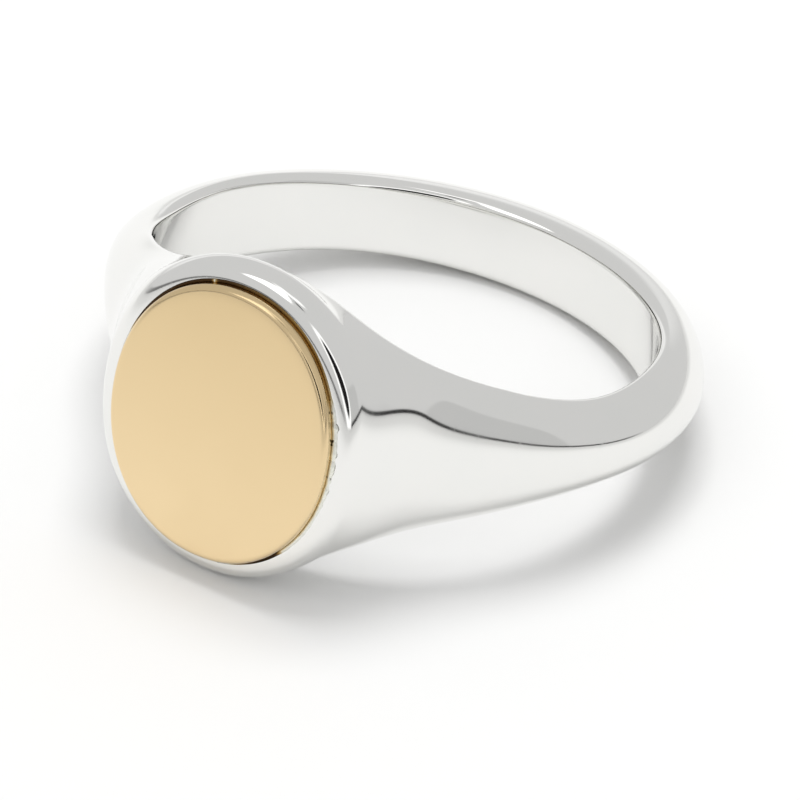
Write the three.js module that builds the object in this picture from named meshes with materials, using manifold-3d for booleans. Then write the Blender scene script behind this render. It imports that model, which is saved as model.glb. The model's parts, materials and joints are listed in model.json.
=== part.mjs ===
// Signet ring lying on its side, resting on the lower edge of its head and on the back of
// its shank. A cast silver band carries an oval head. A gold face plate is let into a
// shallow seat in the head, and a solder seam holds it there.
//
// Two frames are used. In the ring's own frame the finger axis is Z, the head points along
// -Y, and the angle round the finger is counted from the head. The finished group is that
// frame tilted about X until the ring rests on Z = 0, with its box centred on X = Y = 0.
// All sizes are in millimetres.

import * as THREE from 'three';
import { ParametricGeometry } from 'three/addons/geometries/ParametricGeometry.js';
import { mergeVertices } from 'three/addons/utils/BufferGeometryUtils.js';
import Module from 'manifold-3d';

const wasm = await Module();
wasm.setup();

// ---------- driving dimensions ----------

const BORE_RADIUS = 9.05; // finger hole, a size 8 ring
const BORE_EDGE = 0.2; // rounding where the bore meets the sides

// The band's D-shaped section: angle from the head, half of its width along the finger, its
// thickness out from the bore, and the power of its outline, where 2 is an ellipse and more
// is squarer.
const STATIONS = [
  { angle: 0, halfWidth: 5.11, thickness: 2.2, power: 2.9 },
  { angle: 12, halfWidth: 4.775, thickness: 2.53, power: 2.9 },
  { angle: 24, halfWidth: 3.88, thickness: 2.49, power: 3.55 },
  { angle: 36, halfWidth: 3.16, thickness: 1.51, power: 2.65 },
  { angle: 50, halfWidth: 2.57, thickness: 1.27, power: 2.1 },
  { angle: 65, halfWidth: 2.0, thickness: 1.52, power: 2.05 },
  { angle: 80, halfWidth: 1.64, thickness: 1.74, power: 1.95 },
  { angle: 100, halfWidth: 1.65, thickness: 1.85, power: 1.8 },
  { angle: 130, halfWidth: 1.525, thickness: 1.84, power: 2.3 },
  { angle: 180, halfWidth: 1.475, thickness: 1.89, power: 3.6 },
];

const PLATE_HALF_ACROSS = 4.39; // gold plate, across the finger
const PLATE_HALF_ALONG = 5.07; // gold plate, along the finger
const OVAL_POWER = 2.09; // a little fuller than an ellipse
const PLATE_PROUD = 0.39; // how far the plate stands above the rim
const PLATE_EDGE = 0.23; // rounding of its upper edge

const RIM_HEIGHT = 11.5; // top of the silver rim above the finger axis
const RIM_INSET = 0.04; // the rim would be highest this far inside the plate's outline
const RIM_ROLL = 0.79; // radius of the rim's rounding
const SHOULDER_LEAN = 68.5; // degrees that the rim turns before it runs on as the shoulder
const END_LEAN = 154.5; // the same at the ends of the oval, where the rim rolls under
const HEAD_DEPTH = 4.3; // how far the head's flanks run down into the shoulders
const HEAD_BLEND = 1.82; // width of the fillet between head and shoulders

const SEAT_DEPTH = 0.3; // recess in the head under the plate
const SEAT_CLEARANCE = 0.12; // recess wall to plate wall
const SEAM_GAP = 0.03; // clear space on each side of the solder
const SEAM_FILM = 0.06; // solder under the plate
const SEAM_COLLAR = 0.16; // height of the solder round the plate's foot

const BAND_COLUMNS = 112; // steps round the finger
const BAND_ROWS = 32; // steps round the section
const COLUMN_CROWDING = 0.2; // columns lie closer together at the head
const ROW_SQUARENESS = 0.7; // rows are spaced for a section squarer than an ellipse
const OVAL_STEPS = 56;
const EDGE_STEPS = 4;
const SEARCH_STEPS = 26;
const INSIDE_SKIN = 0.2; // a depth from the bore that is always within the silver
const THICKEST = 5; // no section is thicker than this
const FARTHEST_REACH = 2.6; // times the section's half size
const CUTTER_OVERRUN = 1; // the seat cutter stands this far above the plate
const STEEPEST_REST = 40; // degrees, more than any tilt the ring can rest at
const TINY = 1e-9; // keeps divisions clear of zero

// ---------- shape of the silver casting ----------

// Slopes at the stations that let the curve through one of their columns bend smoothly.
function splineSlopes(name) {
  const last = STATIONS.length - 1;
  const span = (i) => STATIONS[i + 1].angle - STATIONS[i].angle;
  const rate = (i) => (STATIONS[i + 1][name] - STATIONS[i][name]) / span(i) ** 2;
  const carried = [0];
  const slope = [0];
  for (let i = 1; i < last; i += 1) {
    const [before, after] = [1 / span(i - 1), 1 / span(i)];
    const share = 2 * (before + after) - before * carried[i - 1];
    carried[i] = after / share;
    slope[i] = (3 * (rate(i - 1) + rate(i)) - before * slope[i - 1]) / share;
  }
  slope[last] = 0;
  for (let i = last - 1; i > 0; i -= 1) slope[i] -= carried[i] * slope[i + 1];
  return slope;
}

const SLOPES = {
  halfWidth: splineSlopes('halfWidth'),
  thickness: splineSlopes('thickness'),
  power: splineSlopes('power'),
};

// Smooth curve through one column of the stations, level at the head and at the back.
function stationValue(name, angle) {
  const slope = SLOPES[name];
  let i = 0;
  while (i < STATIONS.length - 2 && angle >= STATIONS[i + 1].angle) i += 1;
  const span = STATIONS[i + 1].angle - STATIONS[i].angle;
  const s = (angle - STATIONS[i].angle) / span;
  const rise = STATIONS[i + 1][name] - STATIONS[i][name];
  const bend = (1 - s) * span * slope[i] - s * span * slope[i + 1] - (1 - 2 * s) * rise;
  return STATIONS[i][name] + rise * s + s * (1 - s) * bend;
}

// Share of a fillet's width over which two distances are close together.
function overlapOf(a, b, width) {
  return Math.max(width - Math.abs(a - b), 0) / width;
}

// Part common to two distances, with a fillet of the given width between their surfaces.
function softCommon(a, b, width) {
  return Math.max(a, b) + (overlapOf(a, b, width) ** 2 * width) / 4;
}

// Union with a fillet that starts and ends more gradually.
function smoothUnion(a, b, width) {
  return Math.min(a, b) - (overlapOf(a, b, width) ** 3 * width) / 6;
}

// How far a point lies outside an oval, measured along the line from the oval's centre.
function outsideOval(x, z, halfX, halfZ, power) {
  const scale = (Math.abs(x / halfX) ** power + Math.abs(z / halfZ) ** power) ** (1 / power);
  return Math.hypot(x, z) * (1 - 1 / Math.max(scale, TINY));
}

// Distance outside the head: an oval rim whose rounding runs on as a straight flank.
function outsideHead(x, y, z) {
  const crestAcross = PLATE_HALF_ACROSS - RIM_INSET;
  const crestAlong = PLATE_HALF_ALONG - RIM_INSET;
  const sideways = outsideOval(x, z, crestAcross, crestAlong, OVAL_POWER);
  const upright = -y - (RIM_HEIGHT - RIM_ROLL);
  const [side, end] = [(x / crestAcross) ** 2, (z / crestAlong) ** 2];
  const towardSide = side / Math.max(side + end, TINY);
  const lean = THREE.MathUtils.degToRad(END_LEAN + (SHOULDER_LEAN - END_LEAN) * towardSide);
  const flank = sideways * Math.sin(lean) + upright * Math.cos(lean);
  let reach = flank;
  if (sideways < 0) reach = Math.max(upright, flank);
  else if (Math.atan2(sideways, upright) < lean) reach = Math.hypot(sideways, upright);
  return Math.max(reach - RIM_ROLL, -upright - HEAD_DEPTH);
}

// Distance outside the silver, negative inside it, before the seat is cut.
function outsideSilver(x, y, z) {
  const radius = Math.hypot(x, y);
  const angle = THREE.MathUtils.radToDeg(Math.abs(Math.atan2(x, -y)));
  const band = outsideOval(
    Math.max(radius - BORE_RADIUS, 0),
    z,
    stationValue('thickness', angle),
    stationValue('halfWidth', angle),
    stationValue('power', angle),
  );
  const joined = smoothUnion(band, outsideHead(x, y, z), HEAD_BLEND);
  return softCommon(Math.max(joined, -y - RIM_HEIGHT), BORE_RADIUS - radius, 2 * BORE_EDGE);
}

// Farthest multiple of a step that is still inside the silver.
function lastInside(isOutside, limit) {
  let [inside, outside] = [0, limit];
  for (let i = 0; i < SEARCH_STEPS; i += 1) {
    const middle = (inside + outside) / 2;
    if (isOutside(middle)) outside = middle;
    else inside = middle;
  }
  return inside;
}

const signedPower = (value, power) => Math.sign(value) * Math.abs(value) ** power;

// One point of the casting's skin: u goes round the finger, v round the section.
function silverPoint(u, v, target) {
  const turn = 2 * (u % 1) - 1;
  const angle = Math.PI * (turn - COLUMN_CROWDING * Math.sin(Math.PI * turn));
  const [sine, cosine] = [Math.sin(angle), Math.cos(angle)];
  const at = (radius, z) => outsideSilver(radius * sine, -radius * cosine, z) > 0;
  const inner = BORE_RADIUS + INSIDE_SKIN;
  const outer = inner + lastInside((step) => at(inner + step, 0), THICKEST);
  const core = (BORE_RADIUS + outer) / 2;
  const across = (core * sine) / (PLATE_HALF_ACROSS + RIM_ROLL);
  const inHead = cosine > 0 ? Math.max(0, 1 - across * across) : 0;
  const half = Math.max(
    stationValue('halfWidth', THREE.MathUtils.radToDeg(Math.abs(angle))),
    (PLATE_HALF_ALONG + RIM_ROLL) * Math.sqrt(inHead),
  );
  const round = 2 * Math.PI * (v % 1);
  const outward = (outer - core) * signedPower(Math.cos(round), ROW_SQUARENESS);
  const along = half * signedPower(Math.sin(round), ROW_SQUARENESS);
  const reach = lastInside((step) => at(core + step * outward, step * along), FARTHEST_REACH);
  const radius = core + reach * outward;
  target.set(radius * sine, -radius * cosine, reach * along);
}

function weld(geometry) {
  geometry.deleteAttribute('normal');
  geometry.deleteAttribute('uv');
  return mergeVertices(geometry);
}

function solidOf(geometry) {
  const welded = weld(geometry);
  const vertProperties = new Float32Array(welded.attributes.position.array);
  const triVerts = new Uint32Array(welded.index.array);
  return new wasm.Manifold(new wasm.Mesh({ numProp: 3, vertProperties, triVerts }));
}

function geometryOf(solid) {
  const { vertProperties, triVerts } = solid.getMesh();
  const geometry = new THREE.BufferGeometry();
  geometry.setAttribute('position', new THREE.BufferAttribute(vertProperties, 3));
  geometry.setIndex(new THREE.BufferAttribute(triVerts, 1));
  geometry.computeVertexNormals();
  return geometry;
}

// ---------- oval pieces, turned on the head's axis ----------

// A lathe-turned profile of [inset from the plate's wall, height above the finger axis],
// stretched from round to oval. It starts and ends on the head's axis.
function ovalTurned(profile) {
  const points = profile.map(([inset, height]) => new THREE.Vector2(
    inset === null ? 0 : PLATE_HALF_ALONG - inset,
    height,
  ));
  const geometry = new THREE.LatheGeometry(points, OVAL_STEPS);
  const position = geometry.attributes.position;
  for (let i = 0; i < position.count; i += 1) {
    const [x, height, z] = [position.getX(i), position.getY(i), position.getZ(i)];
    const radius = Math.hypot(x, z);
    const [cosine, sine] = radius > 0 ? [x / radius, z / radius] : [1, 0];
    const fuller = (Math.abs(cosine) ** OVAL_POWER + Math.abs(sine) ** OVAL_POWER) ** (-1 / OVAL_POWER);
    const across = Math.max(radius - PLATE_HALF_ALONG + PLATE_HALF_ACROSS, 0);
    position.setXYZ(i, (radius > 0 ? across : 0) * cosine * fuller, -height, -radius * sine * fuller);
  }
  return weld(geometry);
}

const seatFloor = RIM_HEIGHT - SEAT_DEPTH;
const filmBottom = seatFloor + SEAM_GAP;
const filmTop = filmBottom + SEAM_FILM;
const plateBottom = filmTop + SEAM_GAP;
const plateTop = RIM_HEIGHT + PLATE_PROUD;

function seatCutter() {
  const above = plateTop + CUTTER_OVERRUN;
  return ovalTurned([[null, seatFloor], [-SEAT_CLEARANCE, seatFloor], [-SEAT_CLEARANCE, above], [null, above]]);
}

function plateGeometry() {
  const profile = [[null, plateBottom], [0, plateBottom]];
  for (let i = 0; i <= EDGE_STEPS; i += 1) {
    const turn = (Math.PI / 2) * (i / EDGE_STEPS);
    const inset = PLATE_EDGE * (1 - Math.cos(turn));
    profile.push([inset, plateTop - PLATE_EDGE * (1 - Math.sin(turn))]);
  }
  profile.push([null, plateTop]);
  return ovalTurned(profile);
}

function seamGeometry() {
  const outer = SEAM_GAP - SEAT_CLEARANCE;
  const inner = -SEAM_GAP;
  const collarTop = filmBottom + SEAM_COLLAR;
  return ovalTurned([
    [null, filmBottom],
    [outer, filmBottom],
    [outer, collarTop],
    [inner, collarTop],
    [inner, filmTop],
    [null, filmTop],
  ]);
}

function bandGeometry() {
  const skin = new ParametricGeometry(silverPoint, BAND_COLUMNS, BAND_ROWS);
  return geometryOf(solidOf(skin).subtract(solidOf(seatCutter())));
}

// ---------- resting attitude ----------

// Height of the lowest vertex on one side of the finger axis, for a given tilt.
function lowest(geometry, tilt, isHeadSide) {
  const turned = geometry.clone().rotateX(-tilt);
  const position = turned.attributes.position;
  let low = Infinity;
  for (let i = 0; i < position.count; i += 1) {
    if (position.getY(i) < 0 === isHeadSide) low = Math.min(low, position.getZ(i));
  }
  return low;
}

// Tilt at which the head's lower edge and the back of the shank are equally low.
function restingTilt(geometry) {
  let [low, high] = [0, THREE.MathUtils.degToRad(STEEPEST_REST)];
  for (let i = 0; i < SEARCH_STEPS; i += 1) {
    const middle = (low + high) / 2;
    if (lowest(geometry, middle, true) < lowest(geometry, middle, false)) low = middle;
    else high = middle;
  }
  return (low + high) / 2;
}

// ---------- assembly ----------

const silver = new THREE.MeshStandardMaterial({ color: 0xe9e9ea, roughness: 0.1, metalness: 1 });
const gold = new THREE.MeshStandardMaterial({ color: 0xe8c690, roughness: 0.16, metalness: 1 });
const solder = new THREE.MeshStandardMaterial({ color: 0xc9b083, roughness: 0.45, metalness: 1 });

function piece(name, geometry, material) {
  const mesh = new THREE.Mesh(geometry, material);
  mesh.name = name;
  return mesh;
}

const band = piece('silver_band', bandGeometry(), silver);
const plate = piece('gold_face_plate', plateGeometry(), gold);
const seam = piece('solder_seam', seamGeometry(), solder);

const ring = new THREE.Group();
ring.add(band, seam, plate);
ring.rotation.x = -restingTilt(band.geometry);
ring.updateMatrixWorld(true);
const box = new THREE.Box3().setFromObject(ring, true);
const middle = box.getCenter(new THREE.Vector3());
ring.position.set(-middle.x, -middle.y, -box.min.z);

const part = new THREE.Group();
part.add(ring);

export default part;
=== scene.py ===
"""Signet ring, lying on its side in a white studio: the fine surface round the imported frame.

The ring's own frame has the finger axis along Z and the head along -Y, and the angle round
the finger is counted from the head. Sizes in that frame are in millimetres, as in the CAD
model. Everything that Blender holds is in metres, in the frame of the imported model.
"""

import json
import math

import bpy
import numpy as np
from mathutils import Matrix, Vector


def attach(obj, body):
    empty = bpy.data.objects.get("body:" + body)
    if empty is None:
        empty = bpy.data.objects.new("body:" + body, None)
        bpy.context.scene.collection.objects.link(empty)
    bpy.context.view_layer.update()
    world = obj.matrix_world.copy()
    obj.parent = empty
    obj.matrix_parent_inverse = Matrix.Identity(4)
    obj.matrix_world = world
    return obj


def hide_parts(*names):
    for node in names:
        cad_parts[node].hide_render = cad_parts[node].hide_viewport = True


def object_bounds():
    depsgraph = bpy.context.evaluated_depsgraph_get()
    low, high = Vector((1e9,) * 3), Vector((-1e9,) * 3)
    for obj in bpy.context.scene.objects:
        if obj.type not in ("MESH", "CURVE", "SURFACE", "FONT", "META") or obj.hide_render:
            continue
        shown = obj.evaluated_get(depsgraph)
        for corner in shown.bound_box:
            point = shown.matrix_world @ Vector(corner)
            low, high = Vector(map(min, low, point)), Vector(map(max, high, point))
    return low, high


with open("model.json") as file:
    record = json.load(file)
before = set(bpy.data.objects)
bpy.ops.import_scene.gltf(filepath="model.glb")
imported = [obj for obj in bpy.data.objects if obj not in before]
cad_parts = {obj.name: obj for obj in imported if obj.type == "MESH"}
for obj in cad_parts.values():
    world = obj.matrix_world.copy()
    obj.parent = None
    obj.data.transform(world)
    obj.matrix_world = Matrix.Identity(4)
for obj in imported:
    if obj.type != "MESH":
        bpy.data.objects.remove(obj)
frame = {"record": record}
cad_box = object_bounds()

MM = 0.001
TINY = 1e-12  # keeps divisions clear of zero

# ---------- driving dimensions, in millimetres ----------

BORE_RADIUS = 9.05
BORE_EDGE = 0.2  # rounding where the bore meets the sides

# angle from the head, half width along the finger, thickness out from the bore, and the
# power of the section's outline
STATIONS = np.array([
    (0, 5.11, 2.2, 2.9),
    (12, 4.775, 2.53, 2.9),
    (24, 3.88, 2.49, 3.55),
    (36, 3.16, 1.51, 2.65),
    (50, 2.57, 1.27, 2.1),
    (65, 2.0, 1.52, 2.05),
    (80, 1.64, 1.74, 1.95),
    (100, 1.65, 1.85, 1.8),
    (130, 1.525, 1.84, 2.3),
    (180, 1.475, 1.89, 3.6),
])
PLATE_HALF_ACROSS = 4.39
PLATE_HALF_ALONG = 5.07
OVAL_POWER = 2.09
PLATE_PROUD = 0.39  # how far the plate stands above the rim
PLATE_EDGE = 0.23  # rounding of its upper edge
RIM_HEIGHT = 11.5  # top of the rim above the finger axis
RIM_INSET = 0.04  # the rim is highest this far inside the plate's outline
RIM_ROLL = 0.79  # radius of the rim's rounding
SHOULDER_LEAN = 68.5  # degrees that the rim turns through before it runs on as the shoulder
END_LEAN = 154.5  # the same at the two ends of the oval, where the rim rolls under
HEAD_DEPTH = 4.3  # how far the head's flanks run down into the shoulders
HEAD_BLEND = 1.82  # width of the blend between head and shoulders
SEAT_DEPTH = 0.3  # recess in the head under the plate
SEAT_CLEARANCE = 0.12  # recess wall to plate wall
RIM_EASE = 0.3  # width over which the rim's land runs into its rounding

FACE_HEIGHT = RIM_HEIGHT + PLATE_PROUD

# ---------- the ring's place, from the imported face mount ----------

face_mount = next(mount for mount in frame["record"]["mounts"] if mount["name"] == "gold_face")
HEAD_DIRECTION = Vector(face_mount["axis"]).normalized()
RING_CENTRE = Vector(face_mount["pos_m"]) - HEAD_DIRECTION * FACE_HEIGHT * MM
RING_AXIS = Vector((1, 0, 0)).cross(-HEAD_DIRECTION)
ring_turn = Matrix((Vector((1, 0, 0)), -HEAD_DIRECTION, RING_AXIS)).transposed()
RING_TURN = np.array(ring_turn)


def to_world(points):
    """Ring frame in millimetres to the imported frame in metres."""
    return points @ RING_TURN.T * MM + np.array(RING_CENTRE)


def to_ring(points):
    """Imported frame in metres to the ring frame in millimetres."""
    return (points - np.array(RING_CENTRE)) @ RING_TURN / MM


# ---------- camera ----------

VIEW_AZIMUTH = 31.131
VIEW_ELEVATION = 35.713
VIEW_ROLL = 4.191
VIEW_DISTANCE = 0.4
VIEW_AIM = (0.215, -2.456)  # right and up from the finger axis, in millimetres
FOCAL_LENGTH = 511.64


def direction(azimuth, elevation):
    """Unit vector for an azimuth counted from -Y towards +X, and an elevation."""
    azimuth, elevation = math.radians(azimuth), math.radians(elevation)
    level = math.cos(elevation)
    return Vector((math.sin(azimuth) * level, -math.cos(azimuth) * level, math.sin(elevation)))


def make_camera():
    azimuth = math.radians(VIEW_AZIMUTH)
    roll = math.radians(VIEW_ROLL)
    back = direction(VIEW_AZIMUTH, VIEW_ELEVATION)
    right = Vector((math.cos(azimuth), math.sin(azimuth), 0))
    up = back.cross(right)
    aim = RING_CENTRE + (right * VIEW_AIM[0] + up * VIEW_AIM[1]) * MM
    rolled_right = right * math.cos(roll) + up * math.sin(roll)
    rolled_up = up * math.cos(roll) - right * math.sin(roll)
    turn = Matrix((rolled_right, rolled_up, back)).transposed().to_4x4()
    data = bpy.data.cameras.new("studio_camera")
    data.lens = FOCAL_LENGTH
    data.clip_start = 0.01
    data.clip_end = 20
    camera = bpy.data.objects.new("studio_camera", data)
    bpy.context.scene.collection.objects.link(camera)
    camera.matrix_world = Matrix.Translation(aim + back * VIEW_DISTANCE) @ turn
    bpy.context.scene.camera = camera


make_camera()

# ---------- shape of the silver casting ----------


def spline_slopes():
    """Slopes at the stations that let every curve through them bend smoothly."""
    angles, values = STATIONS[:, 0], STATIONS[:, 1:]
    step = np.diff(angles)
    rate = 3 * np.diff(values, axis=0) / step[:, None] ** 2
    pull = np.zeros_like(values)
    pull[1:-1] = rate[:-1] + rate[1:]
    system = np.eye(len(angles))
    for i in range(1, len(angles) - 1):
        before, after = 1 / step[i - 1], 1 / step[i]
        system[i, i - 1:i + 2] = before, 2 * (before + after), after
    return np.linalg.solve(system, pull)


SLOPES = spline_slopes()


def station_value(column, angle):
    """Smooth curve through one column of the stations, level at the head and at the back."""
    angles, values, slope = STATIONS[:, 0], STATIONS[:, column], SLOPES[:, column - 1]
    i = np.clip(np.searchsorted(angles, angle, side="right") - 1, 0, len(angles) - 2)
    span = angles[i + 1] - angles[i]
    share = (angle - angles[i]) / span
    rise = values[i + 1] - values[i]
    bend = (1 - share) * span * slope[i] - share * span * slope[i + 1] - (1 - 2 * share) * rise
    return values[i] + rise * share + share * (1 - share) * bend


def overlap_of(a, b, width):
    return np.maximum(width - np.abs(a - b), 0) / width


def soft_union(a, b, width):
    return np.minimum(a, b) - overlap_of(a, b, width) ** 2 * width / 4


def smooth_union(a, b, width):
    """Softer still at the two ends of the blend, so that reflections run on unbroken."""
    return np.minimum(a, b) - overlap_of(a, b, width) ** 3 * width / 6


def outside_oval(x, z, half_x, half_z, power):
    scale = (np.abs(x / half_x) ** power + np.abs(z / half_z) ** power) ** (1 / power)
    return np.hypot(x, z) * (1 - 1 / np.maximum(scale, TINY))


def outside_silver(points):
    """Distance outside the silver, negative inside it, before the seat is cut."""
    x, y, z = points[..., 0], points[..., 1], points[..., 2]
    radius = np.hypot(x, y)
    angle = np.degrees(np.abs(np.arctan2(x, -y)))
    half_width, thickness, power = (station_value(column, angle) for column in (1, 2, 3))
    band = outside_oval(np.maximum(radius - BORE_RADIUS, 0), z, thickness, half_width, power)
    crest_across = PLATE_HALF_ACROSS - RIM_INSET
    crest_along = PLATE_HALF_ALONG - RIM_INSET
    sideways = outside_oval(x, z, crest_across, crest_along, OVAL_POWER)
    upright = -y - (RIM_HEIGHT - RIM_ROLL)
    toward_side = (x / crest_across) ** 2
    toward_side = toward_side / (toward_side + (z / crest_along) ** 2 + TINY)
    lean = np.radians(END_LEAN + (SHOULDER_LEAN - END_LEAN) * toward_side)
    flank = sideways * np.sin(lean) + upright * np.cos(lean)
    on_roll = np.arctan2(sideways, upright) < lean
    outer = np.where(on_roll, np.hypot(sideways, upright), flank)
    head = np.where(sideways < 0, np.maximum(upright, flank), outer) - RIM_ROLL
    head = np.maximum(head, -upright - HEAD_DEPTH)
    joined = smooth_union(band, head, HEAD_BLEND)
    joined = -soft_union(-joined, y + RIM_HEIGHT, RIM_EASE)
    return -soft_union(-joined, radius - BORE_RADIUS, 2 * BORE_EDGE)


SLOPE_STEP = 1e-3  # millimetres


def silver_normals(points):
    slopes = []
    for step in np.eye(3) * SLOPE_STEP:
        slopes.append(outside_silver(points + step) - outside_silver(points - step))
    normals = np.stack(slopes, -1)
    return normals / np.linalg.norm(normals, axis=-1, keepdims=True)


COLUMNS = 400
ROWS = 220
PROBES = 1440  # angles tried before the columns and the rows are spaced
SEARCH_STEPS = 26
COLUMN_TURN = 3.0  # millimetres of length that one radian of turning counts for
HEAD_CROWDING = 3.0  # how much more length counts for at the head
HEAD_REACH = 33  # degrees round the finger on each side of the head
HEAD_ABRUPTNESS = 6  # how suddenly the crowding ends there
INSIDE_SKIN = 0.2  # a depth from the bore that is always within the silver
THICKEST = 5  # millimetres, more than the silver's thickness anywhere
FARTHEST_REACH = 2.6  # times the section's half size
ROW_TURN = 0.5


def spread(points, count, turn_weight, crowding=1.0):
    """Even shares along a closed line of points, where its turning counts as length too."""
    chord = np.diff(points, axis=0)
    length = np.linalg.norm(chord, axis=1)
    heading = chord / np.maximum(length, TINY)[:, None]
    turning = np.arccos(np.clip((heading * np.roll(heading, -1, axis=0)).sum(1), -1, 1))
    travelled = np.concatenate([[0], np.cumsum(crowding * length + turn_weight * turning)])
    wanted = np.arange(count) / count * travelled[-1]
    return np.interp(wanted, travelled, np.linspace(0, 1, len(points)))


def last_inside(point_at, low, high):
    """Farthest step along each ray that is still inside the silver."""
    for _ in range(SEARCH_STEPS):
        middle = (low + high) / 2
        inside = outside_silver(point_at(middle)) <= 0
        low = np.where(inside, middle, low)
        high = np.where(inside, high, middle)
    return low


def at_radius(angle, radius, z):
    radius, z = np.broadcast_arrays(radius, z)
    return np.stack([radius * np.sin(angle), -radius * np.cos(angle), z], -1)


def outer_radius(angle):
    """Radius of the skin over the middle of the band."""
    start = np.full(angle.shape, BORE_RADIUS + INSIDE_SKIN)
    return last_inside(lambda radius: at_radius(angle, radius, 0), start, start + THICKEST)


def section_points(angle, round_angle):
    """Skin points of the sections at these angles, one row of round_angle for each."""
    angle = angle[:, None]
    sine, cosine = np.sin(angle), np.cos(angle)
    outer = outer_radius(angle)
    core = (BORE_RADIUS + outer) / 2
    across = core * sine / (PLATE_HALF_ACROSS + RIM_ROLL)
    in_head = np.where(cosine > 0, np.maximum(0, 1 - across * across), 0)
    half_width = station_value(1, np.degrees(np.abs(angle)))
    half = np.maximum(half_width, (PLATE_HALF_ALONG + RIM_ROLL) * np.sqrt(in_head))
    outward = (outer - core) * np.cos(round_angle)
    along = half * np.sin(round_angle)
    low = np.zeros(np.broadcast_shapes(outward.shape, along.shape))

    def at(step):
        return at_radius(angle, core + step * outward, step * along)

    return at(last_inside(at, low, low + FARTHEST_REACH))


def silver_grid():
    """Grid of skin points, closer together where the skin turns."""
    probe = np.linspace(0, 1, PROBES + 1)
    angle = np.pi * (2 * probe - 1)
    profile = at_radius(angle, outer_radius(angle), 0)
    off_head = np.degrees(np.abs(angle[1:] + angle[:-1])) / 2 / HEAD_REACH
    crowding = 1 + (HEAD_CROWDING - 1) * np.exp(-off_head ** HEAD_ABRUPTNESS)
    angle = np.pi * (2 * spread(profile, COLUMNS, COLUMN_TURN, crowding) - 1)
    sections = section_points(angle, np.broadcast_to(2 * np.pi * probe, (COLUMNS, PROBES + 1)))
    spaced = np.array([2 * np.pi * spread(section, ROWS, ROW_TURN) for section in sections])
    return section_points(angle, spaced)


# ---------- mesh helpers ----------


def grid_faces(columns, rows, close_rows):
    """Quads of a grid whose columns close on themselves, and whose rows may."""
    last_row = rows if close_rows else rows - 1
    column, row = np.meshgrid(np.arange(columns), np.arange(last_row), indexing="ij")
    next_column, next_row = (column + 1) % columns, (row + 1) % rows
    corners = (column * rows + row, next_column * rows + row,
               next_column * rows + next_row, column * rows + next_row)
    return np.stack([corner.ravel() for corner in corners], -1)


def new_object(name, points, faces):
    """Object from ring-frame points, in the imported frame, smooth and facing outwards.

    Points that would stand outside the CAD model's box are brought back onto it.
    """
    mesh = bpy.data.meshes.new(name)
    kept = np.clip(to_world(points), *np.array(cad_box))
    mesh.from_pydata(kept.tolist(), [], [list(map(int, face)) for face in faces])
    mesh.shade_smooth()
    mesh.update()
    made = bpy.data.objects.new(name, mesh)
    bpy.context.scene.collection.objects.link(made)
    return made


OVAL_STEPS = 320
OVAL_ANGLES = np.arange(OVAL_STEPS) / OVAL_STEPS * 2 * np.pi


def oval_ring(inset, height, shrink=1.0):
    """Ring of points round the head's axis, inset from the plate's wall."""
    across, along = np.cos(OVAL_ANGLES), np.sin(OVAL_ANGLES)
    fuller = (np.abs(across) ** OVAL_POWER + np.abs(along) ** OVAL_POWER) ** (-1 / OVAL_POWER)
    x = (PLATE_HALF_ACROSS - inset) * (across * fuller) * shrink
    z = (PLATE_HALF_ALONG - inset) * (along * fuller) * shrink
    return np.stack([x, -height + 0 * x, z], -1)


def oval_solid(name, rings):
    """Closed solid over rings of points, with a flat cap on the first and on the last."""
    rows = len(rings)
    points = np.stack(rings, 1).reshape(-1, 3)
    faces = [list(face) for face in grid_faces(OVAL_STEPS, rows, False)]
    faces.append([i * rows for i in reversed(range(OVAL_STEPS))])
    faces.append([i * rows + rows - 1 for i in range(OVAL_STEPS)])
    return new_object(name, points, faces)


# ---------- silver band ----------

SEAT_LIP = 0.05  # small round on the seat's upper edge
CUTTER_OVERRUN = 1  # the seat cutter stands this far above the plate, or up to the CAD box
SKIN_DEPTH = 0.008  # faces deeper in the silver than this are the seat's own


def make_band():
    points = silver_grid()
    faces = grid_faces(COLUMNS, ROWS, True)
    band = new_object("ring_silver", points.reshape(-1, 3), faces)
    seat_floor = RIM_HEIGHT - SEAT_DEPTH
    rings = [oval_ring(-SEAT_CLEARANCE, seat_floor)]
    for turn in np.radians((0, 30, 60, 90)):
        inset = -SEAT_CLEARANCE - SEAT_LIP * (1 - math.cos(turn))
        rings.append(oval_ring(inset, RIM_HEIGHT - SEAT_LIP * (1 - math.sin(turn))))
    rings.append(oval_ring(-SEAT_CLEARANCE - SEAT_LIP, FACE_HEIGHT + CUTTER_OVERRUN))
    cutter = oval_solid("seat_cutter", rings)
    cut = band.modifiers.new("seat", "BOOLEAN")
    cut.operation = "DIFFERENCE"
    cut.solver = "EXACT"
    cut.object = cutter
    evaluated = band.evaluated_get(bpy.context.evaluated_depsgraph_get())
    mesh = bpy.data.meshes.new_from_object(evaluated)
    mesh.name = "ring_silver"
    band.modifiers.clear()
    band.data = mesh
    bpy.data.objects.remove(cutter)
    shade_by_shape(mesh)
    return band


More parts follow.
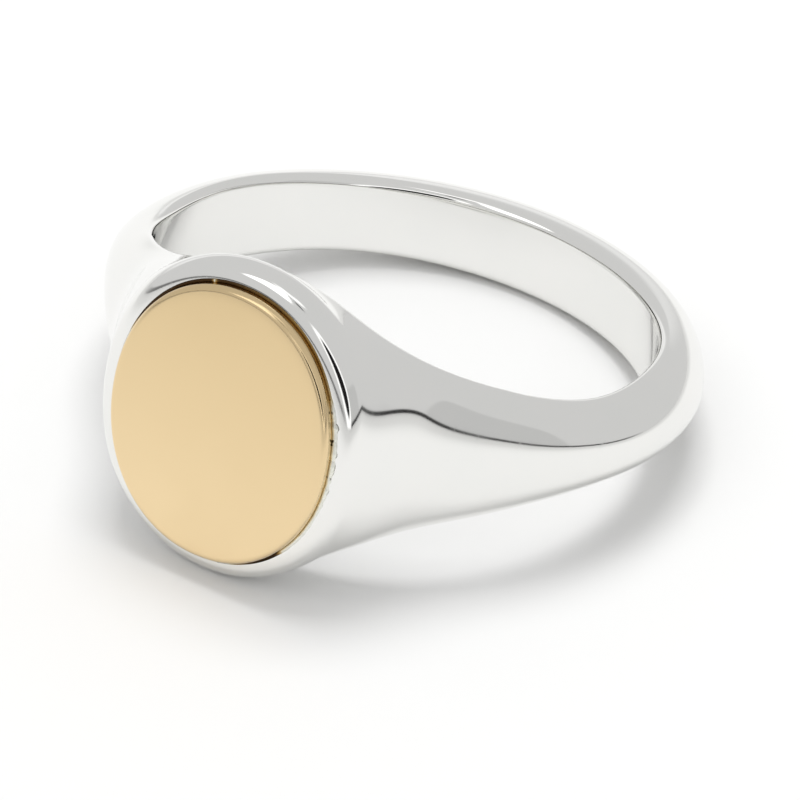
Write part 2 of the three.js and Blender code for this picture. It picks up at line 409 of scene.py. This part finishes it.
def shade_by_shape(mesh):
    """Normals from the shape itself on the skin, and flat ones inside the seat."""
    count = len(mesh.vertices)
    points = np.empty(count * 3)
    mesh.vertices.foreach_get("co", points)
    points = to_ring(points.reshape(-1, 3))
    loops = np.empty(len(mesh.loops), dtype=np.int32)
    mesh.loops.foreach_get("vertex_index", loops)
    centres = np.empty(len(mesh.polygons) * 3)
    mesh.polygons.foreach_get("center", centres)
    flat = np.empty(len(mesh.polygons) * 3)
    mesh.polygons.foreach_get("normal", flat)
    sizes = np.empty(len(mesh.polygons), dtype=np.int32)
    mesh.polygons.foreach_get("loop_total", sizes)
    in_seat = outside_silver(to_ring(centres.reshape(-1, 3))) < -SKIN_DEPTH
    normals = (silver_normals(points) @ RING_TURN.T)[loops]
    flat_by_loop = np.repeat(flat.reshape(-1, 3), sizes, axis=0)
    normals = np.where(np.repeat(in_seat, sizes)[:, None], flat_by_loop, normals)
    mesh.normals_split_custom_set(normals.tolist())


# ---------- gold plate ----------

EDGE_STEPS = 8
FACE_RINGS = 12
FACE_CROWDING = 0.8  # less than 1 brings the face's rings closer to its edge
WALL_SHARES = (0.35, 0.7, 0.92)  # rings up the plate's straight wall
PLATE_FOOT_EDGE = 0.05
PLATE_LIFT = 0.12  # the plate lies this far above the seat, over the film of solder
PLATE_BOTTOM = RIM_HEIGHT - SEAT_DEPTH + PLATE_LIFT


def make_plate():
    straight = FACE_HEIGHT - PLATE_EDGE - PLATE_BOTTOM
    rings = [oval_ring(PLATE_FOOT_EDGE, PLATE_BOTTOM),
             oval_ring(0.0, PLATE_BOTTOM + PLATE_FOOT_EDGE)]
    for share in WALL_SHARES:
        rings.append(oval_ring(0.0, PLATE_BOTTOM + straight * share))
    for turn in np.linspace(0, math.pi / 2, EDGE_STEPS + 1):
        inset = PLATE_EDGE * (1 - math.cos(turn))
        rings.append(oval_ring(inset, FACE_HEIGHT - PLATE_EDGE * (1 - math.sin(turn))))
    for shrink in np.linspace(1, 0, FACE_RINGS + 1)[1:-1] ** FACE_CROWDING:
        rings.append(oval_ring(PLATE_EDGE, FACE_HEIGHT, shrink))
    return oval_solid("ring_gold_plate", rings)


# ---------- solder seam ----------

# angle round the oval from +X towards the ring's +Z, how full the gap is of solder (1 is
# nearly flush with the rim), how far the solder has run out over the rim in millimetres, and how
# free of painted shade it is (1 is the solder's own pale colour, 0 is painted shade, near black)
SEAM_RUN = np.array([
    (-60, 0.7, 0.0, 0.1),
    (-50, 0.7, 0.0, 0.1),
    (-45, 0.95, 0.02, 0.9),
    (-22, 0.97, 0.05, 1.0),
    (-8, 1.0, 0.09, 1.0),
    (10, 1.02, 0.12, 1.0),
    (24, 0.98, 0.1, 0.97),
    (31, 0.86, 0.0, 0.7),
    (45, 0.82, 0.0, 0.58),
    (64, 0.86, 0.0, 0.55),
    (72, 0.92, 0.0, 0.42),
    (100, 0.93, 0.0, 0.3),
    (150, 0.93, 0.0, 0.2),
    (160, 0.97, 0.0, 0.95),
    (230, 0.98, 0.0, 1.0),
    (285, 0.97, 0.0, 0.95),
    (294, 0.85, 0.0, 0.4),
    (300, 0.7, 0.0, 0.1),
])
SEAM_START = SEAM_RUN[0, 0]
SEAM_WAVES = ((23, 0.9), (41, 2.1), (67, 0.4), (97, 4.0))  # ripples round the oval, and phase
SEAM_RIPPLE = 0.02  # millimetres up and down
SEAM_RAGGEDNESS = 0.4  # share of the run-out that the ripples add or take away
SEAM_UNDER = 0.15  # the film's flat faces end on a ring this far under the plate
SEAM_FILM = 0.06  # thickness of the solder under the plate
SEAM_FLOOR_GAP = 0.02  # clear of the seat's floor
SEAM_WALL_GAP = 0.005  # clear of the seat's wall
SEAM_PLATE_GAP = 0.004  # clear of the plate's wall
SEAM_HEADROOM = 0.03  # a full gap holds solder this much less deep than the seat
BEAD_ANGLE = 107  # one small drop of solder stands out of the gap here, in degrees
BEAD_WIDTH = 1.2
BEAD_FILL = 0.25


def make_seam():
    turn = (np.degrees(OVAL_ANGLES) - SEAM_START) % 360 + SEAM_START
    fill, run_out, unshaded = (np.interp(turn, SEAM_RUN[:, 0], SEAM_RUN[:, column])
                            for column in (1, 2, 3))
    waves = [np.sin(count * OVAL_ANGLES + phase) for count, phase in SEAM_WAVES]
    ripple = sum(waves) / len(waves)
    bead = np.exp(-((turn - BEAD_ANGLE) / BEAD_WIDTH) ** 2)
    fill = fill + BEAD_FILL * bead
    unshaded = np.maximum(unshaded, bead)
    floor = RIM_HEIGHT - SEAT_DEPTH + SEAM_FLOOR_GAP
    top = floor + (SEAT_DEPTH - SEAM_HEADROOM) * fill + SEAM_RIPPLE * ripple * unshaded
    wall = -SEAT_CLEARANCE + SEAM_WALL_GAP
    edge = wall - run_out * (1 + SEAM_RAGGEDNESS * ripple)
    # the solder's hidden film and the floor of the gap take the darkest painted shade
    fully_shaded = np.zeros(OVAL_STEPS)
    rows = (  # inset from the plate's wall, height, and how free of painted shade
        (SEAM_UNDER, floor, fully_shaded),
        (wall, floor, fully_shaded),
        (wall, top - 0.04, unshaded),
        (edge, top - 0.075, unshaded),
        ((edge + 2 * wall) / 3, top - 0.012, unshaded),
        (wall / 2, top + 0.004, unshaded),
        (-SEAM_PLATE_GAP, top - 0.01, unshaded),
        (-SEAM_PLATE_GAP, floor + SEAM_FILM, fully_shaded),
        (SEAM_UNDER, floor + SEAM_FILM, fully_shaded),
    )
    seam = oval_solid("ring_solder", [oval_ring(inset, height) for inset, height, _ in rows])
    shares = np.clip(np.stack([share for _, _, share in rows], -1).ravel(), 0, 1)
    layer = seam.data.attributes.new("unshaded", "FLOAT", "POINT")
    layer.data.foreach_set("value", shares)
    return seam


# ---------- materials ----------


def new_material(name):
    material = bpy.data.materials.new(name)
    material.use_nodes = True
    nodes = material.node_tree.nodes
    return material, nodes, material.node_tree.links, nodes["Principled BSDF"]


NOISE_MIDDLE = (0.3, 0.7)  # where nearly all of a noise texture's values lie


def value_range(nodes, links, value, source, target=(0.0, 1.0), interpolation="LINEAR"):
    """Stretch the source range onto the target range."""
    node = nodes.new("ShaderNodeMapRange")
    node.interpolation_type = interpolation
    node.inputs["From Min"].default_value, node.inputs["From Max"].default_value = source
    node.inputs["To Min"].default_value, node.inputs["To Max"].default_value = target
    links.new(value, node.inputs["Value"])
    return node.outputs[0]


def noise(nodes, links, vector, scale, detail=3.0):
    node = nodes.new("ShaderNodeTexNoise")
    node.inputs["Scale"].default_value = scale
    node.inputs["Detail"].default_value = detail
    links.new(vector, node.inputs["Vector"])
    return node.outputs["Fac"]


SCRATCH_LENGTH = 25  # times its width
SCRATCH_EDGE = 0.05  # softness of its sides, in the texture's own values


def scratch_lines(nodes, links, vector, turn, fineness, threshold):
    """Long thin marks in one direction, 1 in a scratch and 0 between them."""
    mapping = nodes.new("ShaderNodeMapping")
    mapping.inputs["Rotation"].default_value = turn
    mapping.inputs["Scale"].default_value = (fineness, fineness / SCRATCH_LENGTH,
                                            fineness / SCRATCH_LENGTH)
    links.new(vector, mapping.inputs["Vector"])
    marks = noise(nodes, links, mapping.outputs[0], 1.0, 1.0)
    return value_range(nodes, links, marks, (threshold, threshold + SCRATCH_EDGE))


def add_bump(nodes, links, shader, parts):
    """Bumps from (height value, strength, depth in metres), one on top of the other."""
    below = None
    for height, strength, depth in parts:
        bump = nodes.new("ShaderNodeBump")
        bump.inputs["Strength"].default_value = strength
        bump.inputs["Distance"].default_value = depth
        links.new(height, bump.inputs["Height"])
        if below:
            links.new(below, bump.inputs["Normal"])
        below = bump.outputs[0]
    links.new(below, shader.inputs["Normal"])


def mix_colours(nodes, links, share, first, second):
    node = nodes.new("ShaderNodeMix")
    node.data_type = "RGBA"
    links.new(share, node.inputs["Factor"])
    for socket, colour in ((node.inputs[6], first), (node.inputs[7], second)):
        if isinstance(colour, tuple):
            socket.default_value = colour
        else:
            links.new(colour, socket)
    return node.outputs[2]


SCRATCH_ROUGHNESS = 0.05  # added to the silver's own


def make_silver():
    material, nodes, links, shader = new_material("polished_silver")
    place = nodes.new("ShaderNodeTexCoord").outputs["Object"]
    handling = noise(nodes, links, place, 420.0, 4.0)
    tint = mix_colours(nodes, links, value_range(nodes, links, handling, NOISE_MIDDLE),
                       (0.865, 0.86, 0.84, 1), (0.85, 0.85, 0.83, 1))
    links.new(tint, shader.inputs["Base Color"])
    shader.inputs["Metallic"].default_value = 1
    scratches = scratch_lines(nodes, links, place, (0.3, 0.5, 0.9), 9000.0, 0.66)
    rough = value_range(nodes, links, handling, NOISE_MIDDLE, (0.045, 0.085))
    worn = nodes.new("ShaderNodeMath")
    worn.operation = "MULTIPLY_ADD"
    worn.inputs[1].default_value = SCRATCH_ROUGHNESS
    links.new(scratches, worn.inputs[0])
    links.new(rough, worn.inputs[2])
    links.new(worn.outputs[0], shader.inputs["Roughness"])
    waviness = noise(nodes, links, place, 260.0, 1.0)
    add_bump(nodes, links, shader, ((waviness, 0.35, 2e-5), (scratches, 0.12, 1e-6)))
    return material


FACE_FOOT = 2.0  # heights over the floor between which the gold is painted a little darker towards the top: painted shade
FACE_TOP = 10.5


def make_gold():
    material, nodes, links, shader = new_material("yellow_gold")
    place = nodes.new("ShaderNodeTexCoord").outputs["Object"]
    cloud = noise(nodes, links, place, 300.0, 3.0)
    height = nodes.new("ShaderNodeSeparateXYZ")
    links.new(place, height.inputs[0])
    # painted shade: the gold's colour darkens from FACE_FOOT up to FACE_TOP, standing in for its
    # dimmer reflection high on the face
    fading = value_range(nodes, links, height.outputs[2], (FACE_FOOT * MM, FACE_TOP * MM))
    shaded_gold = mix_colours(nodes, links, fading, (0.88, 0.69, 0.42, 1), (0.73, 0.56, 0.32, 1))
    patches = value_range(nodes, links, cloud, NOISE_MIDDLE, (0.0, 0.5))
    tint = mix_colours(nodes, links, patches, shaded_gold, (0.82, 0.635, 0.375, 1))
    links.new(tint, shader.inputs["Base Color"])
    shader.inputs["Metallic"].default_value = 1
    first = scratch_lines(nodes, links, place, (0.0, 0.2, 0.6), 12000.0, 0.66)
    second = scratch_lines(nodes, links, place, (0.4, -0.3, -0.9), 9000.0, 0.68)
    rough = value_range(nodes, links, cloud, NOISE_MIDDLE, (0.13, 0.19))
    links.new(rough, shader.inputs["Roughness"])
    add_bump(nodes, links, shader, ((cloud, 0.25, 1.5e-5), (first, 0.15, 1e-6), (second, 0.12, 1e-6)))
    return material


PIT_EDGE = (0.66, 0.72)  # texture values between which a pit begins


def make_solder():
    material, nodes, links, shader = new_material("solder")
    place = nodes.new("ShaderNodeTexCoord").outputs["Object"]
    unshaded = nodes.new("ShaderNodeAttribute")
    unshaded.attribute_name = "unshaded"
    # the solder's own pale colour where it is flush, running down through brown to near black:
    # painted shade of the deep, shaded gap
    ramp = nodes.new("ShaderNodeValToRGB")
    colours = ((0.0, (0.02, 0.012, 0.006, 1)), (0.3, (0.07, 0.04, 0.018, 1)),
               (0.6, (0.34, 0.22, 0.075, 1)), (0.8, (0.6, 0.5, 0.3, 1)),
               (0.93, (0.8, 0.8, 0.73, 1)))
    while len(ramp.color_ramp.elements) < len(colours):
        ramp.color_ramp.elements.new(0.5)
    for element, (position, colour) in zip(ramp.color_ramp.elements, colours):
        element.position = position
        element.color = colour
    links.new(unshaded.outputs["Fac"], ramp.inputs[0])
    pits = noise(nodes, links, place, 3800.0, 2.0)
    deep = value_range(nodes, links, pits, PIT_EDGE)
    tint = mix_colours(nodes, links, deep, ramp.outputs[0], (0.06, 0.05, 0.035, 1))
    links.new(tint, shader.inputs["Base Color"])
    shader.inputs["Metallic"].default_value = 1
    rough = value_range(nodes, links, pits, NOISE_MIDDLE, (0.22, 0.45))
    links.new(rough, shader.inputs["Roughness"])
    grain = noise(nodes, links, place, 2600.0, 3.0)
    add_bump(nodes, links, shader, ((grain, 0.6, 6e-5),))
    return material


# ---------- studio ----------

FLOOR_RADIUS = 0.6
FLOOR_SIDES = 96
FLOOR_FADE = (0.035, 0.1)  # metres from the ring over which the light on the table falls off


def make_floor():
    mesh = bpy.data.meshes.new("studio_floor")
    turns = np.arange(FLOOR_SIDES) / FLOOR_SIDES * 2 * np.pi
    ring = [(FLOOR_RADIUS * math.cos(turn), FLOOR_RADIUS * math.sin(turn), 0) for turn in turns]
    mesh.from_pydata(ring, [], [list(range(FLOOR_SIDES))])
    floor = bpy.data.objects.new("studio_floor", mesh)
    bpy.context.scene.collection.objects.link(floor)
    material, nodes, links, shader = new_material("white_floor")
    place = nodes.new("ShaderNodeTexCoord").outputs["Object"]
    distance = nodes.new("ShaderNodeVectorMath")
    distance.operation = "LENGTH"
    links.new(place, distance.inputs[0])
    fading = value_range(nodes, links, distance.outputs["Value"], FLOOR_FADE,
                         interpolation="SMOOTHSTEP")
    tint = mix_colours(nodes, links, fading, (0.88, 0.88, 0.875, 1), (0.7, 0.7, 0.695, 1))
    links.new(tint, shader.inputs["Base Color"])
    shader.inputs["Roughness"].default_value = 0.9
    shader.inputs["Specular IOR Level"].default_value = 0.0
    mesh.materials.append(material)


KEY_DIRECTION = (-150, 76)  # azimuth and elevation
KEY_SIDE = 0.25
KEY_DISTANCE = 0.5
KEY_RADIANCE = 5.8


def add_key_light():
    """Lights the floor and makes the shadows; polished metal sees the world's patches."""
    data = bpy.data.lights.new("key_light", "AREA")
    data.shape = "SQUARE"
    data.size = KEY_SIDE
    data.energy = KEY_RADIANCE * math.pi * KEY_SIDE * KEY_SIDE
    light = bpy.data.objects.new("key_light", data)
    bpy.context.scene.collection.objects.link(light)
    toward = direction(*KEY_DIRECTION)
    turn = toward.to_track_quat("Z", "Y").to_matrix().to_4x4()
    light.matrix_world = Matrix.Translation(toward * KEY_DISTANCE) @ turn
    light.visible_glossy = False


# azimuth, elevation, half length, half width and tilt of each light or dark patch of the
# studio, the power of its outline, the softness of its edge, and its brightness
PATCHES = (
    (76, 9, 19, 11, 0, 5, 1.0, 0.59),  # far end of the table, in shade
    (-25, 55.5, 21, 18, 0, 3, 2.0, 1.6),  # front softbox
    (5, 80, 75, 5, 0, 4, 1.5, 1.3),  # its top edge, overhead
    (-136, 4, 25, 5, 0, 4, 2.0, 0.95),  # back wall lit from below
    (35, 20, 31, 19, -35.8, 2, 1.5, 1.25),  # bright card round the opening
    (15, 64, 9, 4, 0, 2, 1.0, 0.1),  # dark gap beside the softbox
    (35, 20, 23, 11, -35.8, 2, 1.2, 0.012),  # dark opening between the cards
    (95, -0.6, 35, 1.85, 0, 8, 0.4, 0.02),  # far edge of the table
    (-25, 0.5, 45, 2, 0, 8, 0.8, 0.2),  # near edge of the table
)
WALL_BRIGHTNESS = 0.69


def make_world():
    world = bpy.data.worlds.new("studio_world")
    bpy.context.scene.world = world
    world.use_nodes = True
    nodes, links = world.node_tree.nodes, world.node_tree.links
    background = nodes["Background"]
    coordinates = nodes.new("ShaderNodeTexCoord")
    separate = nodes.new("ShaderNodeSeparateXYZ")
    links.new(coordinates.outputs["Generated"], separate.inputs[0])

    def math_node(operation, *values):
        node = nodes.new("ShaderNodeMath")
        node.operation = operation
        for socket, value in zip(node.inputs, values):
            if isinstance(value, (int, float)):
                socket.default_value = value
            else:
                links.new(value, socket)
        return node.outputs[0]

    x, y, z = separate.outputs
    azimuth = math_node("DEGREES", math_node("ARCTAN2", x, math_node("MULTIPLY", y, -1.0)))
    elevation = math_node("DEGREES", math_node("ARCSINE", z))

    def along(direction_degrees, middle, half):
        turn = math.radians(direction_degrees)
        part = math_node("ADD", math_node("MULTIPLY", azimuth, math.cos(turn)),
                         math_node("MULTIPLY", elevation, math.sin(turn)))
        shift = middle[0] * math.cos(turn) + middle[1] * math.sin(turn)
        part = math_node("DIVIDE", math_node("SUBTRACT", part, shift), half)
        return math_node("ABSOLUTE", part)

    level = WALL_BRIGHTNESS
    for *middle, half_long, half_short, tilt, power, softness, brightness in PATCHES:
        long_share = math_node("POWER", along(tilt, middle, half_long), power)
        short_share = math_node("POWER", along(tilt + 90, middle, half_short), power)
        reach = math_node("POWER", math_node("ADD", long_share, short_share), 1 / power)
        edge = softness / half_short
        fade = value_range(nodes, links, reach, (1 - edge, 1 + edge), (1, 0), "SMOOTHSTEP")
        change = math_node("MULTIPLY", math_node("SUBTRACT", brightness, level), fade)
        level = math_node("ADD", level, change)
    links.new(level, background.inputs["Strength"])
    background.inputs["Color"].default_value = (1, 1, 1, 1)


def make_studio():
    make_floor()
    make_world()
    add_key_light()
    bpy.context.scene.view_settings.view_transform = "Standard"


# ---------- assembly ----------

PIECES = (
    (make_band, make_silver, "silver_band", "polished_silver"),
    (make_plate, make_gold, "gold_face_plate", "yellow_gold"),
    (make_seam, make_solder, "solder_seam", "solder"),
)
for make_piece, make_finish, node, slot in PIECES:
    piece = make_piece()
    piece.data.materials.clear()
    piece.data.materials.append(make_finish())
    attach(piece, "root")
    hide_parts(node)

make_studio()
